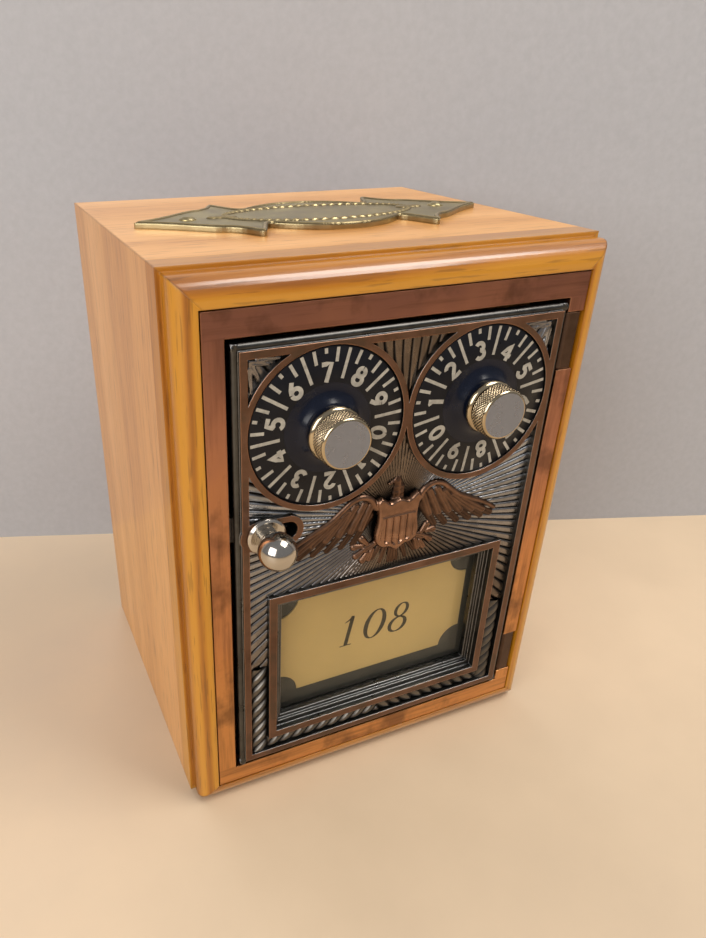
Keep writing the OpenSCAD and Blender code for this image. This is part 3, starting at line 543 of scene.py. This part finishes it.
def wings(A, Z):
    """Feathers, wing edge, tail and claws, mirrored by taking the distance from the middle."""
    h = np.zeros_like(A)
    for ridges, ra, rb, height, groove in RIDGES:
        for a, b in ridges:
            h = np.maximum(h, cap(A, Z, a, b, ra, rb, height, groove))
    edge = smooth_path(WING_EDGE, 4)
    for i in range(len(edge) - 1):
        t = i / len(edge)
        r = 1.15 - 0.35 * t
        h = np.maximum(h, cap(A, Z, edge[i], edge[i + 1], r, r, 1.5 - 0.4 * t))
    return h


def shield(X, Z):
    right = [(SHIELD_W * a, SHIELD_Z + SHIELD_LEN * b) for a, b in SHIELD_HALF]
    outline = right + [(-x, z) for x, z in right[-2:0:-1]]
    d = poly_sd(X, Z, smooth_path(outline + outline[:1], 3)[:-1])
    h = np.where(d > 0, SHIELD_H * round_profile(1 - np.clip(d / SHIELD_ROUND, 0, 1)), 0)
    flutes = (0.5 - 0.5 * np.cos(2 * np.pi * X / FLUTE_PITCH)) * np.clip((d - 1.5) / 0.4, 0, 1)
    h = h - FLUTE_H * flutes * ((d > 1.5) & (Z < CHIEF_Z - 0.6))
    return h - CHIEF_H * swell(Z, CHIEF_Z, 0.28) * (d > 1.1)


def winged_shield(X, Z):
    X = X - SHIELD_X
    A = np.abs(X)
    h = wings(A, Z)
    for a, b, r in HEAD:
        h = np.maximum(h, cap(X, Z, a, b, r, r * 0.8, 1.2))
    scales = 0.25 * np.abs(np.sin(X * 2.2)) * np.abs(np.sin((Z - 84) * 1.9))
    h = h - np.where((A < 3) & (Z > 85.5), scales, 0)
    return np.maximum(h, shield(X, Z))


RAY_STEP = 0.2
relief("sunburst_relief", (-FIELD_X, FIELD_X, FIELD_BOTTOM, FIELD_TOP), RAY_STEP, sunburst, sun_keep,
       mat_rays, "sunburst_rays", sun_tone)
relief("rope_relief", (-FIELD_X, FIELD_X, FIELD_BOTTOM, ROPE_TOP + 0.2), 0.2, rope_height, rope_keep,
       mat_rope, "rope_border")
relief("eagle_relief", (-34, 34, 64.4, 94.5), 0.14, winged_shield, lambda X, Z, H: H > 0.02,
       mat_shield, "winged_shield")


# Turned surfaces and flat strokes
def disc(cx, cz, rings, seg=96):
    """A turned surface facing the front: rings are (radius, y)."""
    V, F = [], []
    for r, y in rings:
        for k in range(seg):
            a = 2 * math.pi * k / seg
            V.append((cx + r * math.cos(a), y, cz + r * math.sin(a)))
    for i in range(len(rings) - 1):
        for k in range(seg):
            a, b = i * seg + k, i * seg + (k + 1) % seg
            F.append((a, b, b + seg, a + seg))
    return V, F


def ribbon(pts, widths, y, closed=False):
    """A flat stroke of varying width through points given as (x, z)."""
    P = np.array(pts, float)
    n = len(P)
    T = (np.roll(P, -1, 0) - np.roll(P, 1, 0)) if closed else np.gradient(P, axis=0)
    T /= np.linalg.norm(T, axis=1)[:, None] + 1e-9
    N = np.stack([-T[:, 1], T[:, 0]], 1)
    W = np.broadcast_to(np.asarray(widths, float), (n,))[:, None] / 2
    Y = np.broadcast_to(np.asarray(y, float), (n,))
    V = [(p[0], d, p[1]) for side in (P + N * W, P - N * W) for p, d in zip(side, Y)]
    F = [(i, (i + 1) % n, (i + 1) % n + n, i + n) for i in range(n if closed else n - 1)]
    return V, F


def arc(cx, cz, rx, rz, a0, a1, n=24):
    angles = [math.radians(a0 + (a1 - a0) * i / n) for i in range(n + 1)]
    return [(cx + rx * math.cos(a), cz + rz * math.sin(a)) for a in angles]


def build(parts):
    """Joins pieces, each given as its vertices and faces."""
    V, F = [], []
    for v, f in parts:
        o = len(V)
        V += list(v)
        F += [tuple(i + o for i in q) for q in f]
    return V, F


# Plain block figures, one unit tall and about 0.66 wide
DIGITS = {
    "0": [arc(0, 0, .26, .42, 90, 450)],
    "1": [[(-.16, .26), (.04, .42), (.04, -.5)]],
    "2": [arc(0, .2, .24, .22, 165, -35, 18) + [(-.26, -.42), (.3, -.42)]],
    "3": [arc(-.02, .2, .22, .22, 150, -85, 16), arc(-.02, -.19, .25, .23, 90, -150, 18)],
    "4": [[(.12, -.5), (.12, .42), (-.28, -.2), (.32, -.2)]],
    "5": [[(.24, .42), (-.18, .42), (-.22, .06)] + arc(-.01, -.16, .25, .26, 120, -145, 18)],
    "6": [[(.16, .42), (-.12, .12)] + arc(0, -.18, .25, .24, 165, -195, 24)],
    "7": [[(-.26, .42), (.26, .42), (-.06, -.5)]],
    "8": [arc(0, .21, .20, .21, 90, 450), arc(0, -.2, .25, .23, 90, 450)],
    "9": [arc(0, .18, .25, .24, 345, -15, 24), [(.25, .12), (.1, -.2), (-.16, -.42)]],
}

# Dials: a black disc with a raised navy hub, forty marks and ten figures
DIAL_FACE_Y = -0.9
MARK_Y = DIAL_FACE_Y - 0.06
MARK_W, MARK_OUTER = 0.82, 19.55
# Inner ends of the marks: the long one between two figures, then the short ones
MARK_INNER = (12.3, 16.2, 18.3, 16.2)
FIGURE_H, FIGURE_R, FIGURE_STROKE = 4.7, 13.9, 1.1
LEFT_TURN, RIGHT_TURN = 4 + 7 * 36, 10 + 3 * 36
DISC_RINGS = [(DIAL_R, 0.9), (DIAL_R, DIAL_FACE_Y + 0.15), (DIAL_R - 0.15, DIAL_FACE_Y), (9.6, DIAL_FACE_Y)]
# Radius of the hub and how far it stands out there
HUB_RINGS = [(11.2, 0.02), (9.6, 0.03), (8.6, 0.25), (7.6, 0.8), (6.9, 1.5), (6.5, 1.78), (3.02, 1.8)]


def densify(P):
    """Adds the middle of each step of a path, and drops steps of no length."""
    out = [P[0]]
    for a, b in zip(P[:-1], P[1:]):
        if np.hypot(*(b - a)) > 1e-6:
            out += [a + (b - a) * 0.5, b]
    return out


def dial(side, turn):
    body = ("left" if side < 0 else "right") + "_dial"
    middle = np.array((side * DIAL_X, DIAL_Z))
    V, F = disc(*middle, DISC_RINGS)
    mesh(body + "_disc", V, F, mat_dial, body, [body])
    V, F = disc(*middle, [(r, DIAL_FACE_Y - h) for r, h in HUB_RINGS])
    mesh(body + "_hub", V, F, mat_hub, body, ())
    parts = []
    for k in range(40):
        a = math.radians(turn - k * 9 + 18)
        out = np.array((-math.sin(a), math.cos(a)))
        ends = [middle + out * MARK_INNER[k % 4], middle + out * MARK_OUTER]
        parts.append(ribbon(ends, MARK_W, MARK_Y))
    for i in range(10):
        a = math.radians(turn - i * 36)
        out = np.array((-math.sin(a), math.cos(a)))
        across = np.array((math.cos(a), math.sin(a)))
        for stroke in DIGITS[str(i)]:
            P = [middle + out * (FIGURE_R + z * FIGURE_H) + across * x * FIGURE_H for x, z in stroke]
            P = densify(np.array(P))
            # Each step lies a hair in front of the one before, where a stroke meets itself
            parts.append(ribbon(P, FIGURE_STROKE, MARK_Y - 0.01 - 0.003 * np.arange(len(P))))
    V, F = build(parts)
    mesh(body + "_marks", V, F, mat_mark, body, (), smooth=False)


dial(-1, LEFT_TURN)
dial(1, RIGHT_TURN)

# Knobs: diamond knurled rim, flat turned face, smooth rounded collar behind
KNURL_FRONT, KNURL_BACK = KNOB_Y + 0.5, -6.2
KNURL_PITCH, KNURL_DEPTH, KNURL_ROWS, KNURL_SEG = 0.86, 0.34, 26, 192
FACE_Y = KNOB_Y + 0.02
FACE_R = KNOB_R - 0.9
BEVEL_RINGS = [(KNOB_R - 0.3, KNURL_FRONT + 0.02), (KNOB_R - 0.4, KNURL_FRONT - 0.25),
               (KNOB_R - 0.7, KNURL_FRONT - 0.44), (FACE_R, FACE_Y)]
# Radius of the collar and how far behind the knurl that is
COLLAR_RINGS = [(6.3, -0.02), (5.9, 0.08), (5.4, 0.2), (5.3, 0.45), (5.8, 0.6), (6.45, 0.9), (6.85, 1.35),
                (6.85, 1.9), (6.45, 2.4), (5.8, 2.85), (5.0, 3.2), (4.9, -2.7 - KNURL_BACK)]


def knurl(cx):
    V, F = [], []
    for i in range(KNURL_ROWS + 1):
        y = KNURL_FRONT + (KNURL_BACK - KNURL_FRONT) * i / KNURL_ROWS
        for k in range(KNURL_SEG):
            a = 2 * math.pi * k / KNURL_SEG
            cuts = [abs((a * KNOB_R + way * y) / KNURL_PITCH % 1 - 0.5) * 2 for way in (1, -1)]
            r = KNOB_R - KNURL_DEPTH * max(cuts) ** 1.5
            V.append((cx + r * math.cos(a), y, DIAL_Z + r * math.sin(a)))
    for i in range(KNURL_ROWS):
        for k in range(KNURL_SEG):
            a, b = i * KNURL_SEG + k, i * KNURL_SEG + (k + 1) % KNURL_SEG
            F.append((a, b, b + KNURL_SEG, a + KNURL_SEG))
    return V, F


def knob(side):
    body = ("left" if side < 0 else "right") + "_dial"
    name = body.replace("_dial", "_knob")
    cx = side * DIAL_X
    V, F = knurl(cx)
    mesh(name + "_knurl", V, F, mat_nickel, body, [name], smooth=False)
    V, F = disc(cx, DIAL_Z, BEVEL_RINGS, 128)
    mesh(name + "_bevel", V, F, mat_nickel, body, ())
    V, F = disc(cx, DIAL_Z, [(FACE_R, FACE_Y), (0.001, FACE_Y)], 128)
    mesh(name + "_face", V, F, mat_knob_face, body, ())
    V, F = disc(cx, DIAL_Z, [(r, KNURL_BACK + y) for r, y in COLLAR_RINGS], 128)
    mesh(name + "_collar", V, F, mat_nickel, body, ())


knob(-1)
knob(1)

# Number on the plate, in sloping figures with thick and thin strokes
NUMBER_X, NUMBER_Y, NUMBER_Z, NUMBER_H = 0.4, 5.625, 39.6, 10.4
NUMBER_GAP, NUMBER_SLANT = 8.5, 0.2


def number():
    parts = []
    h = NUMBER_H / 2
    t = np.linspace(0, 2 * np.pi, 48, endpoint=False)

    def add(pts, widths, dx, closed=False):
        P = [(NUMBER_X + dx + px + pz * NUMBER_SLANT, NUMBER_Z + pz) for px, pz in pts]
        parts.append(ribbon(P, widths, NUMBER_Y, closed))

    def loop(rx, rz, cz, thick, dx):
        ring = [(rx * math.cos(a), cz + rz * math.sin(a)) for a in t]
        add(ring, 0.4 + thick * np.abs(np.cos(t)) ** 1.3, dx, True)

    one = -NUMBER_GAP - 0.1
    add([(0, -h), (0, 0), (0, h - 0.5), (0, h)], [1.25, 1.25, 1.25, 1.0], one)
    add([(-2.1, h - 1.9), (-1.0, h - 1.3), (0.2, h - 0.2)], [0.3, 0.5, 0.7], one)
    add([(-1.9, -h), (1.9, -h)], 0.35, one)
    loop(2.9, h - 0.15, 0, 1.1, 0)
    loop(1.95, 2.35, h * 0.5, 0.75, NUMBER_GAP - 0.1)
    loop(2.6, 2.6, -h * 0.5, 0.9, NUMBER_GAP - 0.1)
    V, F = build(parts)
    mesh("number_ink", V, F, mat_ink, "door", (), smooth=False)


number()

# Raised border and a ring of beads on the lid plate
# Half of the plate's outline, from its middle to its tip, as shares of its length and nominal width
PLATE_MARKS = [(0, 0.45), (0.058, 0.436), (0.116, 0.376), (0.156, 0.31), (0.180, 0.267), (0.199, 0.30),
               (0.218, 0.405), (0.236, 0.498), (0.250, 0.48), (0.268, 0.393), (0.296, 0.324),
               (0.330, 0.286), (0.369, 0.214), (0.417, 0.119), (0.466, 0.043), (0.5, 0)]
PLATE_WIDEST, PLATE_PIN = 0.498, 0.365
BORDER_H, BORDER_IN, BORDER_W = 0.4, 0.65, 0.5
BEADS_LONG, BEADS_WIDE, BEAD_H, BEAD_R, BEADS = 27.5, 11.5, 0.6, 0.8, 32


def lid_relief():
    vs = np.array([v.co[:] for v in nodes["lid_plate"].data.vertices]) / MM
    length, width = np.ptp(vs[:, 0]), np.ptp(vs[:, 1]) / PLATE_WIDEST / 2
    middle_y, top = (vs[:, 1].max() + vs[:, 1].min()) / 2, vs[:, 2].max()
    right = [(length * a, width * b) for a, b in PLATE_MARKS]
    upper = [tuple(p) for p in smooth_path([(-x, y) for x, y in right[:0:-1]] + right, 3)]
    outline = upper + [(x, -y) for x, y in upper[-2:0:-1]]
    step = 0.22
    xs = np.arange(-length / 2, length / 2 + step, step)
    ys = np.arange(-width / 2, width / 2 + step, step)
    X, Y = np.meshgrid(xs, ys)
    d = poly_sd(X, Y, outline)
    h = np.where(d > 0.1, BORDER_H * round_profile((d - BORDER_IN) / BORDER_W), 0)
    ang = np.arctan2(Y / BEADS_WIDE, X / BEADS_LONG)
    off = (np.hypot(X / BEADS_LONG, Y / BEADS_WIDE) - 1) * BEADS_WIDE
    off = off / np.sqrt(np.sin(ang) ** 2 + (np.cos(ang) * BEADS_WIDE / BEADS_LONG) ** 2)
    bead = round_profile(off / BEAD_R) * (0.35 + 0.65 * np.abs(np.sin(ang * BEADS)))
    h = np.maximum(h, BEAD_H * bead * (d > 1.6))
    for s in (-1, 1):
        petal = cap(X, Y, (s * 31.5, 0), (s * 26.0, 0), 1.0, 1.8, 0.55, 0.3)
        h = np.maximum(h, np.where(d > 1.8, petal, 0))
        h = np.where(np.hypot(X - s * PLATE_PIN * length, Y) < 3.0, 0, h)
    keep = h > 0.015
    cell = keep[:-1, :-1] | keep[1:, :-1] | keep[:-1, 1:] | keep[1:, 1:]
    points = (X, Y + middle_y - OAK_FACE_Y, top - 0.02 + h - FRAME_FOOT_Z)
    grid_mesh("lid_plate_relief", points, h, cell, mat_border, "case", ())


lid_relief()

# Smooth shading of the CAD pieces that are rounded
SMOOTHED = ("latch_ball", "latch_collar", "oak_rail_top", "oak_rail_bottom", "oak_stile_left",
            "oak_stile_right", "door_casting")
for n in SMOOTHED:
    o = nodes[n]
    o.modifiers.new("soft", "EDGE_SPLIT").split_angle = math.radians(32)
    o.data.polygons.foreach_set("use_smooth", [True] * len(o.data.polygons))

# Stage: a plain floor, and a plain wall a little askew behind the case
floor_mat = plain("pale_floor", (0.60, 0.46, 0.31), 0.55, 30, 0.03)
wall_mat = plain("pale_wall", (0.42, 0.425, 0.445), 0.8, 400, 0.05)
STAGE = 3.0
WALL_Y, WALL_SLOPE, WALL_TOP = 0.0882, -0.346, 2.0


def one_sided(mat):
    """Clear from behind, so that the back of the case can be looked at through it."""
    t = mat.node_tree
    out = next(n for n in t.nodes if n.type == "OUTPUT_MATERIAL")
    both = t.nodes.new("ShaderNodeMixShader")
    side = t.nodes.new("ShaderNodeNewGeometry")
    clear = t.nodes.new("ShaderNodeBsdfTransparent")
    t.links.new(side.outputs["Backfacing"], both.inputs[0])
    t.links.new(t.nodes["Principled BSDF"].outputs[0], both.inputs[1])
    t.links.new(clear.outputs[0], both.inputs[2])
    t.links.new(both.outputs[0], out.inputs[0])


def sheet(name, corners, mat):
    me = bpy.data.meshes.new(name)
    me.from_pydata(corners, [], [(0, 1, 2, 3)])
    ob = bpy.data.objects.new(name, me)
    bpy.context.scene.collection.objects.link(ob)
    me.materials.append(mat)
    return ob


one_sided(wall_mat)
sheet("floor", [(-STAGE, -STAGE, 0), (STAGE, -STAGE, 0), (STAGE, STAGE, 0), (-STAGE, STAGE, 0)], floor_mat)
left, right = ((x, WALL_Y + WALL_SLOPE * x) for x in (-STAGE, STAGE))
wall = sheet("wall", [(*left, 0), (*right, 0), (*right, WALL_TOP), (*left, WALL_TOP)], wall_mat)
wall.visible_shadow = False

# Camera at the photograph's viewing angle. Its place is in front coordinates, and the picture's
# middle and focal length are in pixels of a 706 by 938 frame.
CAM_YAW, CAM_PITCH, CAM_ROLL = (math.radians(v) for v in (-23.32, 28.43, 0.49))
CAM_PLACE = (-93.5, -137.9, 180.0)
PICTURE_W, PICTURE_H = 706, 938
FOCAL, CENTRE_X, CENTRE_Y = 728.0, 276.7, 477.2

scene = bpy.context.scene
cam = bpy.data.objects.new("camera", bpy.data.cameras.new("camera"))
scene.collection.objects.link(cam)
scene.camera = cam
cy, sy, cp, sp = math.cos(CAM_YAW), math.sin(CAM_YAW), math.cos(CAM_PITCH), math.sin(CAM_PITCH)
ahead = Vector((-sy * cp, cy * cp, -sp))
level = Vector((cy, sy, 0))
upright = level.cross(ahead)
cam_x = level * math.cos(CAM_ROLL) + upright * math.sin(CAM_ROLL)
cam_y = upright * math.cos(CAM_ROLL) - level * math.sin(CAM_ROLL)
pose = Matrix((cam_x, cam_y, -ahead)).transposed().to_4x4()
pose.translation = (Vector(CAM_PLACE) + Vector((0, OAK_FACE_Y, FRAME_FOOT_Z))) * MM
cam.matrix_world = pose
cam.data.sensor_width = 36
cam.data.lens = FOCAL / PICTURE_H * 36
cam.data.shift_x = (PICTURE_W / 2 - CENTRE_X) / PICTURE_H
cam.data.shift_y = (CENTRE_Y - PICTURE_H / 2) / PICTURE_H
cam.data.clip_start = 0.01


def area(name, loc, target, size, power, col):
    light = bpy.data.lights.new(name, "AREA")
    light.shape = "RECTANGLE"
    light.size, light.size_y = size
    light.energy = power
    light.color = col
    ob = bpy.data.objects.new(name, light)
    scene.collection.objects.link(ob)
    ob.location = loc
    ob.rotation_euler = (Vector(target) - Vector(loc)).to_track_quat("-Z", "Y").to_euler()


area("key", (0.45, -0.35, 0.95), (0, 0, 0.07), (0.5, 0.5), 7.8, (1.0, 0.96, 0.91))
area("fill", (-0.9, -0.6, 0.6), (0, 0, 0.07), (0.8, 0.8), 10.5, (1.0, 0.97, 0.94))
area("back", (-0.1, 0.8, 0.9), (0, 0, 0.1), (0.8, 0.5), 6, (0.92, 0.95, 1.0))
world = bpy.data.worlds.new("world")
scene.world = world
world.use_nodes = True
sky = world.node_tree.nodes["Background"]
sky.inputs[0].default_value = (0.80, 0.80, 0.84, 1)
sky.inputs[1].default_value = 0.34
scene.view_settings.view_transform = "Standard"
